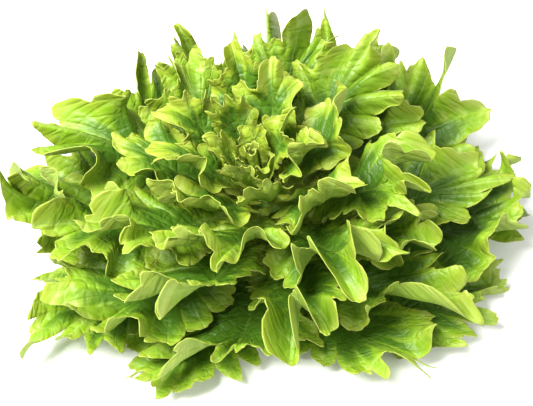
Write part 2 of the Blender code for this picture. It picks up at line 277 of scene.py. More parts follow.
def leaf_rays(leaf, side, share):
    """Foot on the midrib, angle to it, length and curl of the rays; share is 0 at the blade's base."""
    lobe = share * (leaf.lobes + 0.5)
    foot = mix(leaf.stalk, FAN_FOOT, 1 - (1 - np.minimum(share / FAN_START, 1)) ** FOOT_POWER)
    turn = np.radians(SIDE_ANGLE * (1 - share ** SIDE_POWER))
    reach = (np.cos(turn) / TIP_REACH) ** SQUARENESS + (np.sin(turn) / WIDEST) ** SQUARENESS
    reach = reach ** (-1 / SQUARENESS)
    reach = reach * mix(LOWEST_REACH, 1, np.clip(share / FULL_REACH_FROM, 0, 1) ** REACH_POWER)
    reach = reach * mix(1, np.abs(np.sin(np.pi * lobe)) ** BAY_POWER, SINUS_DEPTH)
    # each lobe's own draws hold at its middle, and blend from lobe to lobe
    centres = np.arange(leaf.lobes + 1) + 0.5
    weight = np.exp(-((lobe[:, None] - centres) / LOBE_BLEND) ** 2)
    weight = weight / weight.sum(1, keepdims=True)
    phase = TURN * (lobe - 0.5)
    curl = weight @ leaf.curl[side] + TWIST * weight @ leaf.twist[side] * np.sin(phase)
    curl = curl - SPOON * weight @ leaf.spoon[side] * np.cos(phase)
    return foot, turn, reach * (weight @ leaf.size[side]) * leaf.wide, curl


print("reach of some rays of the first leaf:", leaf_rays(leaves[0], 0, np.array([0.0, 0.5, 1.0]))[2].round(2))

# %% How a ray bends
STEEPEST = 1.35  # radians
CURL_POWER = 2.0
TROUGH = (0.9, 0.15)  # radians that the blade rises beside the midrib, at its base and at its tip
TROUGH_POWER = 0.6
STALK_TROUGH = 0.5
STEPS_OF_A_RAY = np.linspace(0, 1, 33)


def run_along(values, rings):
    """Integral of the values over the steps of a ray, read at the rings."""
    parts = (values[:, 1:] + values[:, :-1]) / 2 / (len(STEPS_OF_A_RAY) - 1)
    total = np.concatenate([np.zeros((len(values), 1)), np.cumsum(parts, axis=1)], axis=1)
    return np.stack([np.interp(rings, STEPS_OF_A_RAY, row) for row in total])


def bent_rays(curl, share, on_stalk, rings):
    """How far the rays run along the cup and rise off it, as shares of their reach."""
    trough = np.where(on_stalk, STALK_TROUGH, mix(*TROUGH, share ** TROUGH_POWER))
    bend = trough[:, None] * (1 - STEPS_OF_A_RAY) + curl[:, None] * STEPS_OF_A_RAY ** CURL_POWER
    bend = STEEPEST * np.tanh(bend / STEEPEST)
    return run_along(np.cos(bend), rings), run_along(np.sin(bend), rings)


print("steps of a ray:", len(STEPS_OF_A_RAY))

# %% One side of a leaf
STOCKIER = (1, 1.8)  # how wide the stalks are for their length
STALK_HALF = (0.054, 0.035)  # half of the stalk's width at the stem and at the blade, of the leaf's length
GROWN_FROM = 5  # the blade has its full form from a fifth of its rays on
GROWN_POWER = 0.7
RUFFLES = ((0.030, 0.7, 2.5), (0.008, 1.7, 4))  # share of the leaf's length, waves a lobe, power of the ring
CRENATION = 0.015  # of the reach
CRENATION_WAVES = ((1.0, 2.3), (0.6, 5.1))  # share, waves a lobe
ROLL_FROM = 0.25  # of the leaf's length
ROLL_MOST = 0.6


def leaf_side(leaf, side, rays, rings):
    """Width, distance along and height off the cup of a grid of points; rays under 0 lie on the stalk."""
    on_stalk = rays < 0
    share = np.clip(rays, 0, 1)
    foot, turn, reach, curl = leaf_rays(leaf, side, share)
    stockier = mix(*STOCKIER, leaf.q)
    grown = np.clip(share * GROWN_FROM, 0, 1)
    stalk_half = mix(*STALK_HALF, np.clip(1 + rays, 0, 1)) * stockier
    foot = np.where(on_stalk, leaf.stalk * (1 + rays), foot)
    turn = np.where(on_stalk, np.pi / 2, turn)
    reach = np.where(on_stalk, stalk_half, mix(STALK_HALF[1] * stockier, reach, grown ** GROWN_POWER))
    curl = np.where(on_stalk, 0, curl * grown)
    run, rise = bent_rays(curl, share, on_stalk, rings)
    sign = 1 if side == 0 else -1
    from_tip = sign * TURN * (1 - share) * (leaf.lobes + 0.5)
    ruffle = sum(high * np.sin(waves * from_tip + start)[:, None] * rings ** power
                 for (high, waves, power), start in zip(RUFFLES, leaf.wave))
    crenate = sum(part * np.sin(waves * from_tip + start)
                  for (part, waves), start in zip(CRENATION_WAVES, leaf.wave))
    reach = (reach * (1 + CRENATION * crenate * grown) * leaf.length)[:, None]
    width = sign * reach * run * np.sin(turn)[:, None]
    along = (foot * leaf.length)[:, None] + reach * run * np.cos(turn)[:, None]
    rolled = width * leaf.roll * np.clip(along / leaf.length - ROLL_FROM, 0, ROLL_MOST)
    height = reach * rise + leaf.length * ruffle * grown[:, None] + rolled
    return width, along, height


def whole_leaf(leaf, rays, rings):
    """Width, distance along and height of both sides, rim to rim."""
    right, left = leaf_side(leaf, 0, rays, rings), leaf_side(leaf, 1, rays, rings)
    return [np.concatenate([a, b[-2::-1]]) for a, b in zip(right, left)]


QUICK_LOOK = np.linspace(0, 1, 50), np.array([0.0, 1.0])  # rays and rings, only to print a measure
print("the first leaf's blade is", round(float(np.ptp(whole_leaf(leaves[0], *QUICK_LOOK)[0]))), "mm wide")

# %% [markdown]
# ## Where a leaf would lie
# A flat leaf set on its cup would be simple, but a wide one would stand off the stem on both sides.
# So its width becomes an angle round the stem, and its height a move in q, towards the next cup.
# Such a move also shifts a point a little along the cup, because neighbouring cups differ in slope.

# %% Wrap a leaf round the stem
HIGHEST_RUFFLE = 24.0  # mm
WIDEST_WRAP = np.radians(105)
LEAST_RADIUS = 2.5


def wished(leaf, rays, rings):
    """Where the leaf would lie: angle round the stem, share along its cup, move in q, shift per move."""
    width, along, height = whole_leaf(leaf, rays, rings)
    along = along / cup_length(leaf.q)
    radius, _ = cup_point(leaf.q, along)
    angle = leaf.direction + leaf.lean * along ** 2
    angle = angle + WIDEST_WRAP * np.tanh(width / np.maximum(radius, LEAST_RADIUS) / WIDEST_WRAP)
    apart, shift = cup_spacing(leaf.q, along)
    height = HIGHEST_RUFFLE * np.tanh(height / HIGHEST_RUFFLE)
    return angle, along, height / apart, shift


rough_move = wished(leaves[0], *QUICK_LOOK)[2]
print("the first leaf would move in q from", rough_move.min().round(2), "to", rough_move.max().round(2))

# %% [markdown]
# ## Room for every leaf
# On the real head the leaves press on each other, and no leaf passes through its neighbour.
# A physics engine could press them apart, slowly and not the same way each time.
# A map is enough: for each direction and each share along the cups, we note which leaves lie there.
# Every leaf may then move off its cup by less than half of the gap to the next leaf on that spot.
# The map is read between the middles of its cells, because a step from cell to cell would show as a crease.

# %% The map and its cells
ANGLE_CELLS = 360
ALONG_CELLS = 100
ALONG_TOP = 1.6  # how far along a cup the map goes, where 1 is the rim
STEPS_OF_A_MOVE = (0.0, 0.25, 0.5, 0.75, 1.0)


def cells(angle, along):
    column = np.floor(angle / TURN * ANGLE_CELLS).astype(int) % ANGLE_CELLS
    row = np.clip((along / ALONG_TOP * ALONG_CELLS).astype(int), 0, ALONG_CELLS - 1)
    return column, row


def between_cells(field, angle, along):
    """The field's value between the middles of its cells."""
    column = angle / TURN * ANGLE_CELLS - 0.5
    row = np.clip(along / ALONG_TOP * ALONG_CELLS - 0.5, 0, ALONG_CELLS - 1.001)
    a, b = np.floor(column).astype(int), np.floor(row).astype(int)
    value = 0
    for next_a, share_a in enumerate((1 - (column - a), column - a)):
        for next_b, share_b in enumerate((1 - (row - b), row - b)):
            value = value + share_a * share_b * field[(a + next_a) % ANGLE_CELLS, b + next_b]
    return value


def spread(field, pick):
    """Each cell takes the picked value of itself and the cells that touch it."""
    result = field
    for a in (-1, 0, 1):
        for b in (-1, 0, 1):
            result = pick(result, np.roll(np.roll(field, a, -2), b, -1))
    return result


print("cells for each leaf:", ANGLE_CELLS * ALONG_CELLS)

# %% Which leaves lie where
MAP_RINGS = np.linspace(0, 1, 13)
MAP_RAYS = (8, 14)  # on the stalk, and to each lobe


def rays_of(leaf, on_stalk, per_lobe):
    """Where the rays stand: from -1 to 0 on the stalk, and from 0 at the blade's base to 1 at the tip."""
    stalk = np.linspace(-1, 0, on_stalk, endpoint=False)
    return np.concatenate([stalk, np.linspace(0, 1, round(per_lobe * (leaf.lobes + 0.5)) + 1)])


def covered_cells(leaves):
    """For each leaf, the cells that it lies over, with every lobe sampled finely."""
    covered = np.zeros((LEAVES, ANGLE_CELLS, ALONG_CELLS), bool)
    for leaf in leaves:
        angle, along, move, shift = wished(leaf, rays_of(leaf, *MAP_RAYS), MAP_RINGS)
        for step in STEPS_OF_A_MOVE:
            covered[leaf.index][cells(angle, along - step * move * shift)] = True
    return spread(covered, np.logical_or)


covered = covered_cells(leaves)
print("leaves that lie over one cell, at the most:", covered.sum(0).max())

# %% The rooms
CLEARANCE = 1.3  # mm
GAP_SHARE = 0.45
BELOW_ALL = -0.18  # the q of a neighbour that is taken to lie below the lowest leaf on a spot
ABOVE_ALL = 1.03


def smoothed(field):
    """The mean of five cells, round the head and along the cups."""
    for axis in (1, 2):
        field = sum(np.roll(field, k, axis) for k in range(-2, 3)) / 5
    return field


def rooms(covered, order, beyond_all, pick):
    """The q that each leaf may go to over each cell: nearly half way to the leaf there that came before."""
    places = place_of(np.arange(LEAVES))
    room, last = np.zeros(covered.shape), np.full(covered.shape[1:], beyond_all)
    for i in order:
        room[i] = mix(places[i], last, GAP_SHARE)
        last = np.where(covered[i], places[i], last)
    return smoothed(spread(room, pick))


low_rooms = rooms(covered, range(LEAVES), BELOW_ALL, np.maximum)
high_rooms = rooms(covered, reversed(range(LEAVES)), ABOVE_ALL, np.minimum)
print("room above the first leaf, at the most:", round(float((high_rooms[0] - leaves[0].q).max()), 2))

# %% [markdown]
# ## The whole head
# The head isn't a perfect bowl: the plan is longer one way than the other, and the top leans to the left.
# The outermost leaves droop, and the table stops them.
# These shifts bend all leaves together, as pushing on the whole head would, so none of them can meet.

# %% Bend the whole head
PLAN = (0.975, 0.02, 0.07, 0.055)  # size, and how much more to the back, sideways and on one diagonal
PLAN_AT_STEM = 0.965
PLAN_FROM = 60  # mm from the axis, where the plan takes its full form
LEAN = -0.17  # sideways shift per height
FLOOR = 2.0  # no leaf hangs lower than this
FLOOR_SOFTNESS = 2.0


def whole_head(x, y, z, above_floor):
    """The head's plan, its lean, and the floor that stops the drooping leaves."""
    angle = np.arctan2(y, x)
    far = np.clip(np.hypot(x, y) / PLAN_FROM, 0, 1)
    size, back, sideways, diagonal = PLAN
    plan = size + back * np.sin(angle) + sideways * np.cos(2 * angle) + diagonal * np.sin(2 * angle)
    plan = mix(PLAN_AT_STEM, plan, far)
    x, y = x * plan + LEAN * z, y * plan
    if above_floor:
        z = FLOOR + FLOOR_SOFTNESS * np.logaddexp(0, (z - FLOOR) / FLOOR_SOFTNESS)
    return np.stack([x, y, z], -1)


print("lean of the head, mm for every mm of height:", LEAN)

# %% A swell through all leaves
SWELL = 0.025
SWELL_WAVES = (  # waves round the head, turn along a cup and from cup to cup, start, share
    (7, 3, 3, 0.3, 1.0), (11, -4, -4, 1.9, 1.0), (16, 3, 4, 4.0, 1.1),
    (21, -5, -4, 2.5, 1.1), (27, 4, 3, 5.1, 0.9), (33, -5, -3, 0.8, 0.8),
)
SWELL_POWER = 6  # the swell is strong only near the rim
SWELL_TOP = 1.12
SWELL_UP_TO = 1.1  # the q where it has faded out


def swell(angle, along, q):
    """A swell that all leaves share, gentle enough in q that it can't make two of them cross."""
    total = 0
    for around, outward, inward, start, share in SWELL_WAVES:
        total = total + share * np.sin(around * angle + outward * along + inward * q + start)
    return SWELL * total * np.clip(along, 0, SWELL_TOP) ** SWELL_POWER * np.clip(SWELL_UP_TO - q, 0, 1)


print("waves of the swell:", len(SWELL_WAVES))

# %% [markdown]
# ## Settle the leaves
# A leaf's crests often wish for more room than there is, and cut off at the room they would have flat tops.
# So a wish for far more room is scaled down first, and what is left bends softly into the room.
# A tip that would pass the side of the frame is bent back as softly.

# %% The room at every point
LEAST_ROOM = 1e-4
ANY_ROOM = 9.0


def room_for(leaf, angle, along, move, shift):
    """How far in q each point of a leaf may move, on the side to which it wishes to go."""
    up, down = np.full(along.shape, ANY_ROOM), np.full(along.shape, ANY_ROOM)
    for step in STEPS_OF_A_MOVE:
        passed = along - step * move * shift
        apart, _ = cup_spacing(leaf.q, passed)
        highest, lowest = (between_cells(field[leaf.index], angle, passed)
                           for field in (high_rooms, low_rooms))
        up = np.minimum(up, highest - leaf.q - CLEARANCE / apart)
        down = np.minimum(down, leaf.q - lowest - CLEARANCE / apart)
    return np.maximum(np.where(move > 0, up, down), LEAST_ROOM)


print("steps at which a move asks for room:", len(STEPS_OF_A_MOVE))

# %% Settle a leaf in its room
SOFT_SIDE = 8.0  # mm from the frame's sides in which a leaf is bent back
CREST_IN_ROOMS = 1.8  # a wish for more room than this is scaled down, so that the crests stay round
LEAST_CREST = 1e-6


def in_frame(points):
    """The tips that would pass the frame's sides, bent back softly."""
    for side, sign in ((0, -1), (1, 1)):
        start = sign * np.array(frame_box[side])[:2] * MM - SOFT_SIDE
        over = np.maximum(sign * points[..., :2] - start, 0)
        points[..., :2] -= sign * (over - SOFT_SIDE * np.tanh(over / SOFT_SIDE))
    return points


def settled(leaf, rays, rings):
    """Points of the leaf's middle surface in space, held to its room."""
    angle, along, move, shift = wished(leaf, rays, rings)
    room = room_for(leaf, angle, along, move, shift)
    crest = np.maximum(np.abs(move).max(axis=0), LEAST_CREST)  # of every ring
    move = move * np.minimum(1, CREST_IN_ROOMS * room / crest)
    move = room * np.tanh(move / room)
    along = along - move * shift
    q = leaf.q + move
    q = q + swell(angle, along, q)
    radius, height = cup_point(q, along)
    return in_frame(whole_head(radius * np.cos(angle), radius * np.sin(angle), height, True))


rough_rim = settled(leaves[0], *QUICK_LOOK)[:, 1, 2]
print("the first leaf's rim is", rough_rim.min().round(1), "to", rough_rim.max().round(1), "mm high")

# %% [markdown]
# ## Shader maths as Python
# A finish is a graph of nodes. Wiring maths nodes one by one is slow to write and hard to read.
# A small class wraps a socket, so that `1 - mask` or `veins * 0.3` adds the nodes by itself.

# %% Sockets in expressions
def operator(operation):
    """An operator that adds a Math node, and its reflected form, for a number on the left."""
    def of_socket(self, other):
        return self.math(operation, self, other)

    def reflected(self, other):
        return self.math(operation, other, self)

    return of_socket, reflected


class Socket:
    """An output of a node, which can be used in a Python expression."""

    def __init__(self, finish, socket):
        self.finish, self.socket = finish, socket

    def math(self, operation, *values):
        return self.finish.node("Math", {"operation": operation}, dict(enumerate(values)))

    __add__, __radd__ = operator("ADD")
    __sub__, __rsub__ = operator("SUBTRACT")
    __mul__, __rmul__ = operator("MULTIPLY")
    __truediv__, __rtruediv__ = operator("DIVIDE")
    __pow__, __rpow__ = operator("POWER")

    def __abs__(self):
        return self.math("ABSOLUTE", self)

    def fraction(self):
        return self.math("FRACT", self)

    def fade(self, start, end):
        """0 at the start and 1 at the end, smooth between them."""
        return self.finish.node("MapRange", {"interpolation_type": "SMOOTHSTEP"},
                                {"Value": self, "From Min": start, "From Max": end})


print("shader words of a socket:", "fraction, fade")

# %% A finish and its nodes
class Finish:
    """A material, and the one method that adds its nodes."""

    def __init__(self, name):
        self.material = bpy.data.materials.new(name)
        self.material.use_nodes = True
        self.tree = self.material.node_tree
        self.tree.nodes.clear()

    def node(self, kind, settings=None, sockets=None, out=0):
        """Adds a node: its settings first, then the values or links of its sockets."""
        node = self.tree.nodes.new("ShaderNode" + kind)
        for name, value in (settings or {}).items():
            setattr(node, name, value)
        for name, value in (sockets or {}).items():
            if isinstance(value, Socket):
                self.tree.links.new(value.socket, node.inputs[name])
            else:
                node.inputs[name].default_value = value
        return None if out is None else Socket(self, node.outputs[out])

    def map(self, name):
        """A UV map, as a place and as its two numbers."""
        place = self.node("UVMap", {"uv_map": name})
        return (place, *(self.node("SeparateXYZ", sockets={0: place}, out=axis) for axis in "XY"))

    def vector(self, operation, sockets):
        return self.node("VectorMath", {"operation": operation}, sockets)

    def noise(self, where, scale, detail=2.0, out=0):
        sockets = {"Vector": where, "Scale": scale, "Detail": detail}
        return self.node("TexNoise", {"noise_dimensions": "3D"}, sockets, out)

    def net(self, where, scale):
        """How far a point is from the lines of a net."""
        return self.node("TexVoronoi", {"feature": "DISTANCE_TO_EDGE"}, {"Vector": where, "Scale": scale})

    def blend(self, share, a, b):
        """A colour between two colours."""
        return self.node("Mix", {"data_type": "RGBA"}, {0: share, 6: a, 7: b}, out=2)

    def bump(self, relief, strength, depth):
        sockets = {"Strength": strength, "Distance": depth, "Height": relief}
        return self.node("Bump", {}, sockets, out="Normal")

    def done(self, shader):
        """The finished material, once its shader is known."""
        self.node("OutputMaterial", sockets={"Surface": shader}, out=None)
        return self.material


print("shader words of a finish:", "map, vector, noise, net, blend, bump")

# %% [markdown]
# ## What a leaf's colour is made of
# The blade is a fresh green, paler towards the rim, in patches and on young leaves; its inner part, where the
# leaves lie in each other's shade, is painted a deep green as shade.
# A thin lime line runs along the very margin, the midrib and veins are pale, and a fine net joins the veins.
# The underside is paler and duller.
# The leaf is thin, so light also comes through it, which a share of translucent shader gives.
# All of this is placed by four maps that the mesh carries: the flat leaf, the distance to the rim, the lobes,
# and which of its two faces a point is on.

# %% Where the veins run
VEIN_SPREAD = 3.2  # cm, the width of a wide lobe at the rim
VEIN_EDGE = (0.02, 0.09)  # pairs: where a line's edge starts to fade and where it ends
NET_EDGE = (0.0, 0.07)
FINE_NET_EDGE = (0.0, 0.12)
NET_SCALE = 1.7
FINE_NET_SCALE = 5.0
WANDER = 0.3  # cm that the lines of the nets wander
WANDER_SCALE = 2.0


def vein_lines(finish, flat, lobe, ring):
    """Side veins, one to each lobe, a net and a finer net, 0 to 1, and the distance to the net's lines."""
    beside_vein = abs(lobe.fraction() - 0.5) * ring * VEIN_SPREAD
    wander = finish.vector("SCALE", {0: finish.noise(flat, WANDER_SCALE, out="Color"), "Scale": WANDER})
    bent = finish.vector("ADD", {0: flat, 1: wander})
    net = finish.net(bent, NET_SCALE)
    fine_net = finish.net(bent, FINE_NET_SCALE)
    return 1 - beside_vein.fade(*VEIN_EDGE), 1 - net.fade(*NET_EDGE), 1 - fine_net.fade(*FINE_NET_EDGE), net


print("nets between the veins, cells to a cm:", NET_SCALE, "and", FINE_NET_SCALE)

# %% The greens of a leaf
LEAF_COLOURS = {  # reach: the painted shade, a deep green, starts so many cm from the rim
    "outer_leaf_green": dict(
        painted_shade=(0.052, 0.128, 0.006), blade=(0.178, 0.315, 0.009), rim=(0.290, 0.345, 0.026), reach=4.4),
    "inner_leaf_green": dict(
        painted_shade=(0.064, 0.155, 0.008), blade=(0.225, 0.348, 0.012), rim=(0.335, 0.372, 0.034), reach=2.4),
}
PATCH_PALE = (0.40, 0.46, 0.11, 1)
PATCH_SCALES = (0.9, 1.7)  # of the soft patches and of the pale ones
PATCH_DETAIL = 3.0
PATCHY_BLADE = 0.45
PATCHY_RIM = 0.8
RIM_WIDTH = 1.4  # cm
RIM_SHARE = 0.75
PALE_SHARE = 0.5


def blade_colour(finish, flat, from_rim, patches, out_of_painted_shade, painted_shade, blade, rim):
    """From the painted shade, a deep green towards the base, to the pale rim, with soft patches."""
    # painted shade: a deep green over the blade's inner part, fading out towards the rim
    clear_of_painted_shade = (out_of_painted_shade + (patches - 0.5) * PATCHY_BLADE).fade(0.0, 0.95)
    colour = finish.blend(clear_of_painted_shade, (*painted_shade, 1), (*blade, 1))
    at_rim = (1 - from_rim / RIM_WIDTH + (patches - 0.5) * PATCHY_RIM).fade(-0.2, 1.1)
    colour = finish.blend(at_rim * RIM_SHARE, colour, (*rim, 1))
    # pale patches only outside the painted shade
    pale = finish.noise(flat, PATCH_SCALES[1], PATCH_DETAIL).fade(0.50, 0.72) * out_of_painted_shade
    return finish.blend(pale * PALE_SHARE, colour, PATCH_PALE)


print("greens:", *LEAF_COLOURS)

# %% The leaf finish
MARGIN_LIME = (0.45, 0.48, 0.10, 1)
VEIN_PALE = (0.34, 0.48, 0.09, 1)
UNDERSIDE = (0.30, 0.38, 0.08, 1)
THROUGH_LEAF = (0.28, 0.44, 0.018, 1)
SEE_THROUGH = 0.20
VEIN_SHARE = 0.22
FINE_NET_SHARE = 0.14
MIDRIB_WIDTH = (0.10, 0.14)  # cm: at the tip, and what is added towards the base
MARGIN_WIDTH = 0.06
MARGIN_SHARE = 0.45
UNDERSIDE_SHARE = 0.3
LEAF_ROUGHNESS = 0.46
ROUGHER_BELOW = 0.12
ROUGH_PATCHES = 0.15
LEAF_SPECULAR = 0.36
PUFFED_UP = 0.6  # the blade between its veins, and the soft noise on it
SUNK_VEIN = 0.3


def leaf_finish(name, painted_shade, blade, rim, reach):
    finish = Finish(name)
    flat, across, _ = finish.map("flat")
    _, from_rim, ring = finish.map("margin")
    _, lobe, from_tip = finish.map("lobes")
    _, above, _ = finish.map("face")
    # the greens, with shade painted as a deep green some cm inside the rim; on the underside the painted
    # shade starts twice as far from the rim
    patches = finish.noise(flat, PATCH_SCALES[0], PATCH_DETAIL)
    out_of_painted_shade = (1 - from_rim / reach * (0.5 + 0.5 * above)).fade(0.0, 0.80)
    colour = blade_colour(finish, flat, from_rim, patches, out_of_painted_shade, painted_shade, blade, rim)
    # veins, midrib, margin and underside; the veins and the midrib fade out in the painted shade
    side_vein, net_vein, fine_net, net = vein_lines(finish, flat, lobe, ring)
    veins = (side_vein * VEIN_SHARE + net_vein * VEIN_SHARE + fine_net * FINE_NET_SHARE) * out_of_painted_shade
    colour = finish.blend(veins, colour, VEIN_PALE)
    midrib = (1 - abs(across) / (MIDRIB_WIDTH[0] + MIDRIB_WIDTH[1] * from_tip)).fade(0.0, 0.6)
    colour = finish.blend(midrib * (0.12 + 0.3 * out_of_painted_shade), colour, VEIN_PALE)
    margin = 1 - from_rim.fade(0.0, MARGIN_WIDTH)
    colour = finish.blend(margin * MARGIN_SHARE, colour, MARGIN_LIME)
    colour = finish.blend((1 - above) * UNDERSIDE_SHARE, colour, UNDERSIDE)
    # veins sunk in, blade puffed up between them
    relief = net.fade(0.0, 0.25) * PUFFED_UP + finish.noise(flat, 3.0) * PUFFED_UP - side_vein * SUNK_VEIN
    skin = finish.node("BsdfPrincipled", {}, {
        "Base Color": colour,
        "Roughness": LEAF_ROUGHNESS + ROUGHER_BELOW * (1 - above) + (patches - 0.5) * ROUGH_PATCHES,
        "Normal": finish.bump(relief, 0.5, 0.0012),
        "Specular IOR Level": LEAF_SPECULAR}, out="BSDF")
    through = finish.node("BsdfTranslucent", {}, {"Color": THROUGH_LEAF}, out="BSDF")
    return finish.done(finish.node("MixShader", {}, {0: SEE_THROUGH, 1: skin, 2: through}, out="Shader"))


leaf_green = {name: leaf_finish(name, **colours) for name, colours in LEAF_COLOURS.items()}
print("leaf finishes:", *leaf_green)

# %% [markdown]
# ## From points to a leaf
# A leaf is a sheet with two faces, thick along the midrib and thin over the blade.
# Blender could thicken it with a Solidify modifier, but the midrib needs its own thickness at every point.
# So each point is moved half the thickness out along the sheet's normal, and once more the other way.

# %% Thick midrib, thin blade
BLADE = (0.60, 0.50)  # mm
RIB_ROOT = (2.4, 1.3)
RIB_TIP = (0.9, 0.6)
RIB_POWER = 0.6
RIB_WIDTH = 0.12  # of the reach
RIB_SLOPE = 1.5
THINNER_AT_RIM = 0.35


def thickness(leaf, rays, rings):
    """Whole thickness over one side: thick along the midrib, thin over the blade."""
    up = np.clip((rays + 1) / 2, 0, 1)
    blade = mix(*BLADE, leaf.q)
    rib = mix(mix(*RIB_ROOT, leaf.q), mix(*RIB_TIP, leaf.q), up ** RIB_POWER)
    extra = np.maximum(rib - blade, 0)[:, None]
    ridge = extra * np.clip(1 - rings / RIB_WIDTH, 0, 1) ** RIB_SLOPE
    over_blade = blade * (1 - THINNER_AT_RIM * rings ** 4) + ridge
    over_stalk = blade + extra * (1 - rings ** 2)
    return np.where((rays < 0)[:, None], over_stalk, over_blade)


rough_thick = thickness(leaves[0], np.array([-0.5, 0.5]), np.array([0.0, 1.0]))
print("the first leaf is", rough_thick.min().round(2), "to", rough_thick.max().round(2), "mm thick")

# %% Triangles over a grid
def sheet_triangles(number):
    """Triangles over a grid of vertex numbers, leaned the same way on both sides of the midrib."""
    half = (len(number) - 1) // 2
    a, b, c, d = number[:-1, :-1], number[1:, :-1], number[1:, 1:], number[:-1, 1:]
    first = np.concatenate([np.stack([a, d, b], -1)[:half], np.stack([a, c, b], -1)[half:]]).reshape(-1, 3)
    second = np.concatenate([np.stack([b, d, c], -1)[:half], np.stack([a, d, c], -1)[half:]]).reshape(-1, 3)
    triangles = np.concatenate([first, second])
    keep = (triangles[:, 0] != triangles[:, 1]) & (triangles[:, 1] != triangles[:, 2])
    return triangles[keep & (triangles[:, 0] != triangles[:, 2])]


def leaf_numbers(rays, columns):
    """Vertex numbers of a grid whose halves share the midrib, and whose last rays share a point of it."""
    rows = 2 * len(rays) - 1
    number = np.arange(rows * columns).reshape(rows, columns)
    number[:len(rays), 0][rays >= FAN_START] = number[len(rays) - 1, 0]
    number[len(rays) - 1:, 0] = number[len(rays) - 1::-1, 0]
    return number


def vertex_normals(points, triangles):
    a, b, c = (points[triangles[:, k]] for k in range(3))
    faces = np.cross(b - a, c - a)
    normals = np.zeros_like(points)
    for k in range(3):
        np.add.at(normals, triangles[:, k], faces)
    return normals / np.maximum(np.linalg.norm(normals, axis=1, keepdims=True), 1e-12)


print("triangles of a small leaf:", len(sheet_triangles(leaf_numbers(np.linspace(0, 1, 3), 2))))

# %% Sheets with two faces
def add_map(mesh, name, pairs):
    """A UV map that holds two numbers for each vertex."""
    corners = np.zeros(len(mesh.loops), int)
    mesh.loops.foreach_get("vertex_index", corners)
    mesh.uv_layers.new(name=name).uv.foreach_set("vector", pairs[corners].astype(np.float32).reshape(-1))


def sheet_mesh(name, points, number, thick, maps, raised):
    """A closed thin mesh over a grid of points in mm, raised off it; maps are pairs for each point."""
    used, triangles = np.unique(sheet_triangles(number), return_inverse=True)
    triangles = triangles.reshape(-1, 3)
    points, thick, raised = points.reshape(-1, 3)[used], thick.reshape(-1)[used], raised.reshape(-1)[used]
    points = points + vertex_normals(points, triangles) * raised[:, None]
    offset = vertex_normals(points, triangles) * thick[:, None] / 2
    count = len(points)
    # an edge that only one triangle has is on the sheet's border, where a strip joins the two faces
    edges = triangles[:, [0, 1, 1, 2, 2, 0]].reshape(-1, 2)
    forward, backward = edges[:, 0] * count + edges[:, 1], edges[:, 1] * count + edges[:, 0]
    a, b = edges[~np.isin(backward, forward)].T
    strip = np.concatenate([np.stack([b, a, a + count], -1), np.stack([b, a + count, b + count], -1)])
    faces = np.concatenate([triangles, triangles[:, ::-1] + count, strip])
    mesh = bpy.data.meshes.new(name)
    mesh.from_pydata(np.concatenate([points + offset, points - offset]) / MM, [], faces.tolist())
    for layer, values in maps.items():
        add_map(mesh, layer, np.tile(values.reshape(-1, 2)[used], (2, 1)))
    # the second half of the points is the upper face
    above = np.arange(2 * count) >= count
    add_map(mesh, "face", np.stack([above, above], -1))
    mesh.shade_smooth()
    return mesh


print("maps of a sheet:", "flat, margin, lobes, face")

# %% [markdown]
# ## Fifty leaves
# Each leaf replaces the plain solid of its name, and takes the outer or the inner green by its place in the
# head.
# The plain solids are too coarse for its small forms: the rim gets small, uneven notches, and the blade
# gets soft blisters, which fade out low down, where the leaves lie pressed flat on each other.

# %% A leaf's maps
CM = 10  # mm
NEXT_LEAF = 17  # cm that each leaf's pattern is moved on, so that no two are alike
STALK_REACH = 0.06  # of the leaf's length, as the next one
LEAST_REACH = 0.05


def leaf_maps(leaf, rays, rings):
    """Flat leaf in cm; cm from the rim, and the ring; lobe, and the share of the way from tip to base."""
    width, along, _ = whole_leaf(leaf, rays, rings)
    share = np.clip(rays, 0, 1)
    per_side = []
    for side in (0, 1):
        _, _, reach, _ = leaf_rays(leaf, side, share)
        reach = np.where(rays < 0, STALK_REACH, np.maximum(reach, LEAST_REACH)) * leaf.length
        per_side.append((reach[:, None] * (1 - rings)) / CM)
    from_rim = np.concatenate([per_side[0], per_side[1][-2::-1]])
    ring = np.broadcast_to(rings, from_rim.shape)
    share = np.broadcast_to(np.concatenate([share, share[-2::-1]])[:, None], from_rim.shape)
    return {
        "flat": np.stack([width / CM, along / CM + NEXT_LEAF * leaf.index], -1),
        "margin": np.stack([from_rim, ring], -1),
        "lobes": np.stack([share * (leaf.lobes + 0.5), 1 - share], -1),
    }


rough_maps = leaf_maps(leaves[0], *QUICK_LOOK)
print("maps of a leaf:", *rough_maps)

# %% Notches and blisters
NOTCH = 0.28  # of the last ring's width, at the most
NOTCH_EVERY = 3  # rays
PUCKER = 0.17  # mm, of each wave
PUCKER_WAVES = 7
PUCKER_LENGTHS = (0.9, 1.7)  # cm
PUCKER_GROWS = 4  # it is full from a quarter of the ray on
PRESSED_BELOW = 9.0  # mm over the table, where the leaves lie pressed flat on each other


def notched(points, seed):
    """The rim pulled in a little and unevenly, ray by ray."""
    rng = np.random.default_rng(seed)
    depth = NOTCH * rng.random(len(points))
    depth = depth * (np.arange(len(points)) % NOTCH_EVERY == rng.integers(0, NOTCH_EVERY))
    points[:, -1] = mix(points[:, -1], points[:, -2], depth[:, None])
    return points


def puckers(leaf, maps, height):
    """Soft blisters of the blade, in mm: a few waves that cross each other at all angles."""
    rng = np.random.default_rng(leaf.index)
    turns = rng.uniform(0, TURN, PUCKER_WAVES)
    starts = rng.uniform(0, TURN, PUCKER_WAVES)
    lengths = rng.uniform(*PUCKER_LENGTHS, PUCKER_WAVES)
    across, along = maps["flat"][..., 0], maps["flat"][..., 1]
    ring = maps["margin"][..., 1]
    total = 0
    for turn, start, length in zip(turns, starts, lengths):
        total = total + np.sin(TURN * (across * np.cos(turn) + along * np.sin(turn)) / length + start)
    return PUCKER * total * np.clip(PUCKER_GROWS * ring, 0, 1) * np.clip(height / PRESSED_BELOW - 1, 0, 1)


print("the first leaf's blisters, in mm:", puckers(leaves[0], rough_maps, 2 * PRESSED_BELOW).max().round(1))

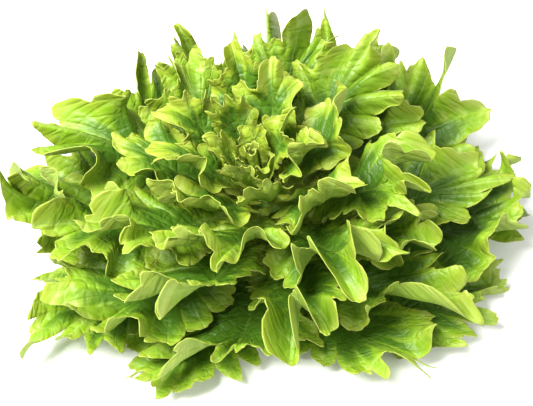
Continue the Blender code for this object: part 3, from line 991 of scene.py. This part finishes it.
# %% Grow the leaves
RAYS = (7, 26)  # on the stalk, and to each lobe, so close that even a crest of the rim is round
RINGS = np.array([0, 0.05, 0.12, 0.22, 0.34, 0.46, 0.57, 0.67, 0.76, 0.84, 0.91, 0.965, 1.0])
INNER_FROM = 0.6  # the q from which a leaf is an inner one


def grow(leaf):
    rays = rays_of(leaf, *RAYS)
    points = notched(settled(leaf, rays, RINGS), leaf.index)
    thick = thickness(leaf, rays, RINGS)
    thick = np.concatenate([thick, thick[-2::-1]])
    maps = leaf_maps(leaf, rays, RINGS)
    raised = puckers(leaf, maps, points[..., 2])
    name = f"leaf_{leaf.index + 1:02d}"
    mesh = sheet_mesh(name + "_fine", points, leaf_numbers(rays, len(RINGS)), thick, maps, raised)
    slot = "outer_leaf_green" if leaf.q < INNER_FROM else "inner_leaf_green"
    mesh.materials.append(leaf_green[slot])
    piece = add_to_scene(name + "_fine", mesh)
    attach(piece, BODY)
    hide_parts(name)
    return len(mesh.polygons)


faces_of_leaves = [grow(leaf) for leaf in leaves]
print("triangles in the leaves:", sum(faces_of_leaves), "and in the largest:", max(faces_of_leaves))

# %% [markdown]
# ## The heart bud
# The youngest leaf is still rolled up at the centre, with only its pale green rim to be seen.
# It is the same kind of sheet, laid on a spiral instead of a cup, with a small wave round its top.
# Every turn of the spiral carries the same whole number of waves, so that the turns lie in each other.

# %% The bud's spiral
BUD_TURNS = 1.75
BUD_WAVES = 7
BUD_RADIUS = (3.7, 1.1)  # pairs and sizes in mm: at the outer end of the spiral and at the inner one
BUD_UNROLLED = (3.7, 2.4)  # mean radius of the spiral up to there
BUD_FOOT = 52.5
BUD_TOP = 76
BUD_TOP_FALL = 5  # inwards
BUD_TOP_WAVES = ((1.2, 2.3), (0.35, BUD_WAVES))  # mm high, waves a turn
BUD_FLARE = 0.22
BUD_WAVE = 0.3
BUD_LEVELS = np.concatenate([np.linspace(0, 0.9, 24), [0.94, 0.97, 1.0]])
BUD_STEPS = 260


def bud_grid():
    turns = np.linspace(0, BUD_TURNS * TURN, BUD_STEPS)[:, None]
    inward = turns / turns[-1]
    top = BUD_TOP - BUD_TOP_FALL * inward
    for high, waves in BUD_TOP_WAVES:
        top = top + high * np.sin(waves * turns)
    radius = mix(*BUD_RADIUS, inward) * (1 + BUD_FLARE * BUD_LEVELS ** 3)
    radius = radius + BUD_WAVE * np.sin(BUD_WAVES * turns) * BUD_LEVELS ** 4
    height = mix(BUD_FOOT, top, BUD_LEVELS)
    points = whole_head(radius * np.cos(turns), radius * np.sin(turns), height, False)
    unrolled = mix(*BUD_UNROLLED, inward) * turns / CM + 0 * height
    maps = {
        "flat": np.stack([unrolled - unrolled.mean(), height / CM], -1),
        "margin": np.stack([(top - height) / CM, BUD_LEVELS + 0 * height], -1),
        "lobes": np.stack([BUD_WAVES * turns / TURN + 0 * height, 0.5 + 0 * height], -1),
    }
    return points, maps


bud_points, bud_maps = bud_grid()
print("the bud's rim is up to", bud_points[:, -1, 2].max().round(1), "mm over the table")

# %% Roll the bud
BUD_THICKNESS = 0.5  # mm


def roll_bud():
    number = np.arange(bud_points.shape[0] * bud_points.shape[1]).reshape(bud_points.shape[:2])
    thick = np.full(number.shape, BUD_THICKNESS)
    mesh = sheet_mesh("heart_bud_fine", bud_points, number, thick, bud_maps, 0 * thick)
    mesh.materials.append(leaf_green["inner_leaf_green"])
    bud = add_to_scene("heart_bud_fine", mesh)
    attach(bud, BODY)
    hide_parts("heart_bud")
    return bud


bud = roll_bud()
print("triangles in the bud:", len(bud.data.polygons))

# %% [markdown]
# ## The cut stem
# All leaves sit on a short, firm stump that narrows upwards. The head stands on its flat cut.
# Below the lowest leaf it has the scars of leaves that were taken off, one turn of the golden angle apart.
# We turn the stump as a profile, let crescent ridges stand out of it, and keep them in a map for the finish.

# %% The scars of taken leaves
SCARS = 7
LOWER_SCAR = 1.25  # mm that each scar is lower than the one before
FIRST_SCAR = 11.0  # mm over the cut
SCAR_SAG = 4.0
SCAR_HALF_TURN = np.radians(52)
SCAR_HALF_HEIGHT = 0.55


def scars(angle, height):
    """Crescents where older leaves stood, 0 to 1."""
    total = 0
    for k in range(SCARS):
        off = (angle - FIRST_DIRECTION + (k + 1) * GOLDEN_ANGLE + np.pi) % TURN - np.pi
        middle = FIRST_SCAR - LOWER_SCAR * k + SCAR_SAG * (1 - np.cos(off))
        width = np.clip(1 - (off / SCAR_HALF_TURN) ** 2, 0, 1) ** 0.5
        total = total + width * np.exp(-((height - middle) / SCAR_HALF_HEIGHT) ** 2)
    return np.minimum(total, 1)


print("scars:", SCARS, "and the last one is", FIRST_SCAR - LOWER_SCAR * (SCARS - 1), "mm over the cut")

# %% The stem's form
STEM_INSET = 1.2  # mm from the leaf roots to the skin
STEM_FOOT = ((16.4, 0.0), (16.9, 0.5), (17.5, 3.0), (17.6, 9.0))  # radius and height: a rounded cut edge
STEM_SIDES = 160
STEM_LEVELS = 120
STEM_LEVEL_POWER = 1.4  # over 1, the levels are closest at the cut
STEM_TOP = 51.0
SCAR_INSET = 0.2
SCAR_HEIGHT = 0.35
STEM_RIBS = 9
STEM_RIB_HEIGHT = 0.12
STEM_RIB_TWIST = 0.15


def stem_radius(height):
    """The plain profile: a softly rounded cut edge, then the line of the leaf roots."""
    roots = [(mix(*ROOT_RADIUS, q) - STEM_INSET, mix(*ROOT_HEIGHT, q)) for q in (0.0, 0.5, 1.0)]
    radii, heights = np.array([*STEM_FOOT, *roots]).T
    return np.interp(height, heights, radii)


def stem_grid():
    angle = np.linspace(0, TURN, STEM_SIDES, endpoint=False)[None, :]
    height = (STEM_TOP * np.linspace(0, 1, STEM_LEVELS) ** STEM_LEVEL_POWER)[:, None] + 0 * angle
    mark = scars(angle, height)
    ribs = STEM_RIB_HEIGHT * np.sin(STEM_RIBS * angle + STEM_RIB_TWIST * height)
    radius = stem_radius(height) - SCAR_INSET + SCAR_HEIGHT * mark + ribs
    points = whole_head(radius * np.cos(angle), radius * np.sin(angle), height, False)
    return points, mark


stem_points, stem_marks = stem_grid()
print("scarred share of the stem:", round(float((stem_marks > 0.5).mean()), 3))

# %% [markdown]
# ## What the stem's colour is made of
# The skin is pale green with fine upright fibres, greener among the leaves, and its scars have dried to tan.
# The cut is paler, with a ring of milk vessels inside the rind, and has gone a little brown in the air.
# Object coordinates place all of it, because a stump has a natural middle and a natural height.

# %% The stem finish
STEM_SKIN, STEM_YOUNG = (0.50, 0.58, 0.26, 1), (0.20, 0.36, 0.05, 1)
SCAR_TAN, CUT_FLESH = (0.42, 0.28, 0.11, 1), (0.74, 0.70, 0.46, 1)
CUT_PITH, CUT_BROWN = (0.82, 0.80, 0.62, 1), (0.40, 0.23, 0.09, 1)
YOUNG_HEIGHT = 3.2  # cm over the cut, as the radius below
VESSEL_RADIUS = 1.30
VESSEL_SHARE = 0.6
BROWNED_SHARE = 0.7
FIBRE_STRETCH = (900, 900, 90)  # drawn out upwards
STAIN_SCALE = 160.0
STEM_DETAIL = 4.0
CUT_EDGE = (0.02, 0.06)  # cm over the cut


def stem_finish(name):
    finish = Finish(name)
    place = finish.node("TexCoord", out="Object")
    x, y, z = (finish.node("SeparateXYZ", sockets={0: place}, out=axis) * (MM / CM) for axis in "XYZ")
    _, mark, _ = finish.map("marks")
    radius = (x * x + y * y) ** 0.5
    fibres = finish.noise(finish.vector("MULTIPLY", {0: place, 1: FIBRE_STRETCH}), 1.0, STEM_DETAIL)
    stains = finish.noise(place, STAIN_SCALE, STEM_DETAIL)
    skin = finish.blend((z / YOUNG_HEIGHT + (fibres - 0.5) * 0.5).fade(0.1, 1.0), STEM_SKIN, STEM_YOUNG)
    skin = finish.blend((mark * 1.2 + (stains - 0.5) * 0.8).fade(0.3, 0.9), skin, SCAR_TAN)
    vessels = 1 - abs(radius - VESSEL_RADIUS - (fibres - 0.5) * 0.12).fade(0.02, 0.10)
    cut = finish.blend((radius + (stains - 0.5) * 0.5).fade(0.5, 1.1), CUT_PITH, CUT_FLESH)
    cut = finish.blend(vessels * VESSEL_SHARE, cut, CUT_BROWN)
    cut = finish.blend((stains * 1.3 + radius * 0.25).fade(0.8, 1.25) * BROWNED_SHARE, cut, CUT_BROWN)
    relief = fibres * 0.7 + stains * 0.3 - vessels * 0.2
    return finish.done(finish.node("BsdfPrincipled", {}, {
        "Base Color": finish.blend(z.fade(*CUT_EDGE), cut, skin),
        "Roughness": 0.5 + stains * 0.25,
        "Normal": finish.bump(relief, 0.5, 0.0005)}, out="BSDF"))


stem_pale = stem_finish("cut_stem_pale")
print("nodes of the stem's finish:", len(stem_pale.node_tree.nodes))

# %% Turn the stem
CUT_EDGE_ANGLE = np.radians(50)  # a sharper edge isn't shaded smooth


def stem_faces(levels, sides):
    """A fan over the cut, a fan over the top and the wall between them, side by side."""
    middle_of_cut, middle_of_top = levels * sides, levels * sides + 1
    top = (levels - 1) * sides
    faces = []
    for side in range(sides):
        after = (side + 1) % sides
        faces += [(middle_of_cut, after, side), (middle_of_top, top + side, top + after)]
        faces += [(row + side, row + after, row + sides + after, row + sides + side)
                  for row in range(0, top, sides)]
    return faces


def add_stem():
    middles = whole_head(np.zeros(2), np.zeros(2), stem_points[[0, -1], 0, 2], False)
    points = np.concatenate([stem_points.reshape(-1, 3), middles]) / MM
    mesh = bpy.data.meshes.new("stem_fine")
    mesh.from_pydata(points, [], stem_faces(STEM_LEVELS, STEM_SIDES))
    marks = np.concatenate([stem_marks.reshape(-1), [0, 0]])
    add_map(mesh, "marks", np.stack([marks, 0 * marks], -1))
    mesh.shade_smooth()
    mesh.set_sharp_from_angle(angle=CUT_EDGE_ANGLE)
    mesh.materials.append(stem_pale)
    stem = add_to_scene("stem_fine", mesh)
    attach(stem, BODY)
    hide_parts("stem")
    return stem


stem = add_stem()
print("faces of the stem:", len(stem.data.polygons))

# %% [markdown]
# ## The table
# The floor is plain and pale, so that it gives soft light back and takes no attention.
# A trace of grain in its roughness keeps it from looking like empty paper.

# %% Floor finish
FLOOR_WHITE = (0.88, 0.88, 0.87, 1)
GRAIN_SCALE = 60.0


def floor_finish(name):
    finish = Finish(name)
    grain = finish.noise(finish.node("TexCoord", out="Object"), GRAIN_SCALE, 3.0)
    return finish.done(finish.node("BsdfPrincipled", {}, {
        "Base Color": FLOOR_WHITE, "Roughness": 0.6 + grain * 0.2}, out="BSDF"))


floor.data.materials.append(floor_finish("pale floor"))
print("floor finish:", floor.data.materials[0].name)
